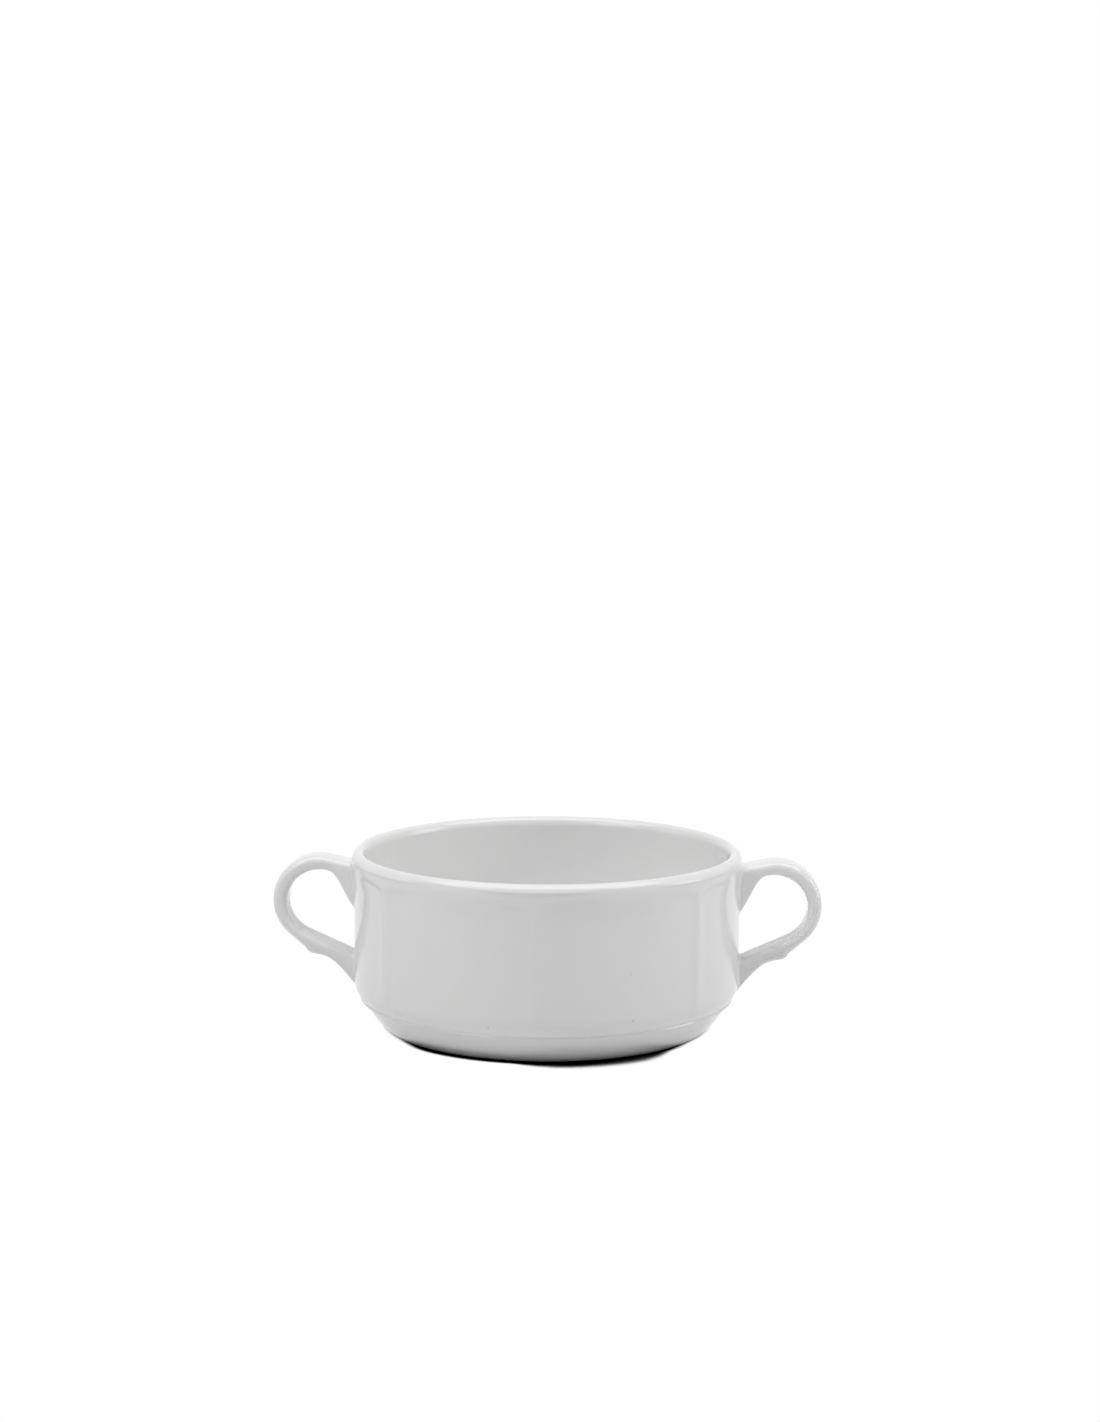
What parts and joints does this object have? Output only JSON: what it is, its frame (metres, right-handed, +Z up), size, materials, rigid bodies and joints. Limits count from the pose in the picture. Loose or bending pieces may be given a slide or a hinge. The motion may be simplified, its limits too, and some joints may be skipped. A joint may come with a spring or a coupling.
{
  "type": "consomme cup",
  "caption": "Low straight-sided white porcelain soup cup with a loop handle on each side, a rolled lip, faint panel relief and a stepped foot that nests in the rim of the next cup.",
  "frame": {"origin": "on the table, under the middle of the foot ring", "axes": "+X through the middle of the right handle, +Z up along the cup's axis, and -Y is the front"},
  "size_m": [0.1474, 0.105, 0.0475],
  "materials": {
    "porcelain_body": "clear gloss glaze on white hard porcelain, bare on the ring that it stands on",
    "porcelain_handle": "clear gloss glaze on white hard porcelain",
    "slip": "white porcelain slip, sponged off and glazed over"
  },
  "bodies": {
    "root": {"cup_body": "porcelain_body", "handle_left": "porcelain_handle", "handle_right": "porcelain_handle", "slip_joint_left_upper": "slip", "slip_joint_left_lower": "slip", "slip_joint_right_upper": "slip", "slip_joint_right_lower": "slip"}
  },
  "joints": []
}
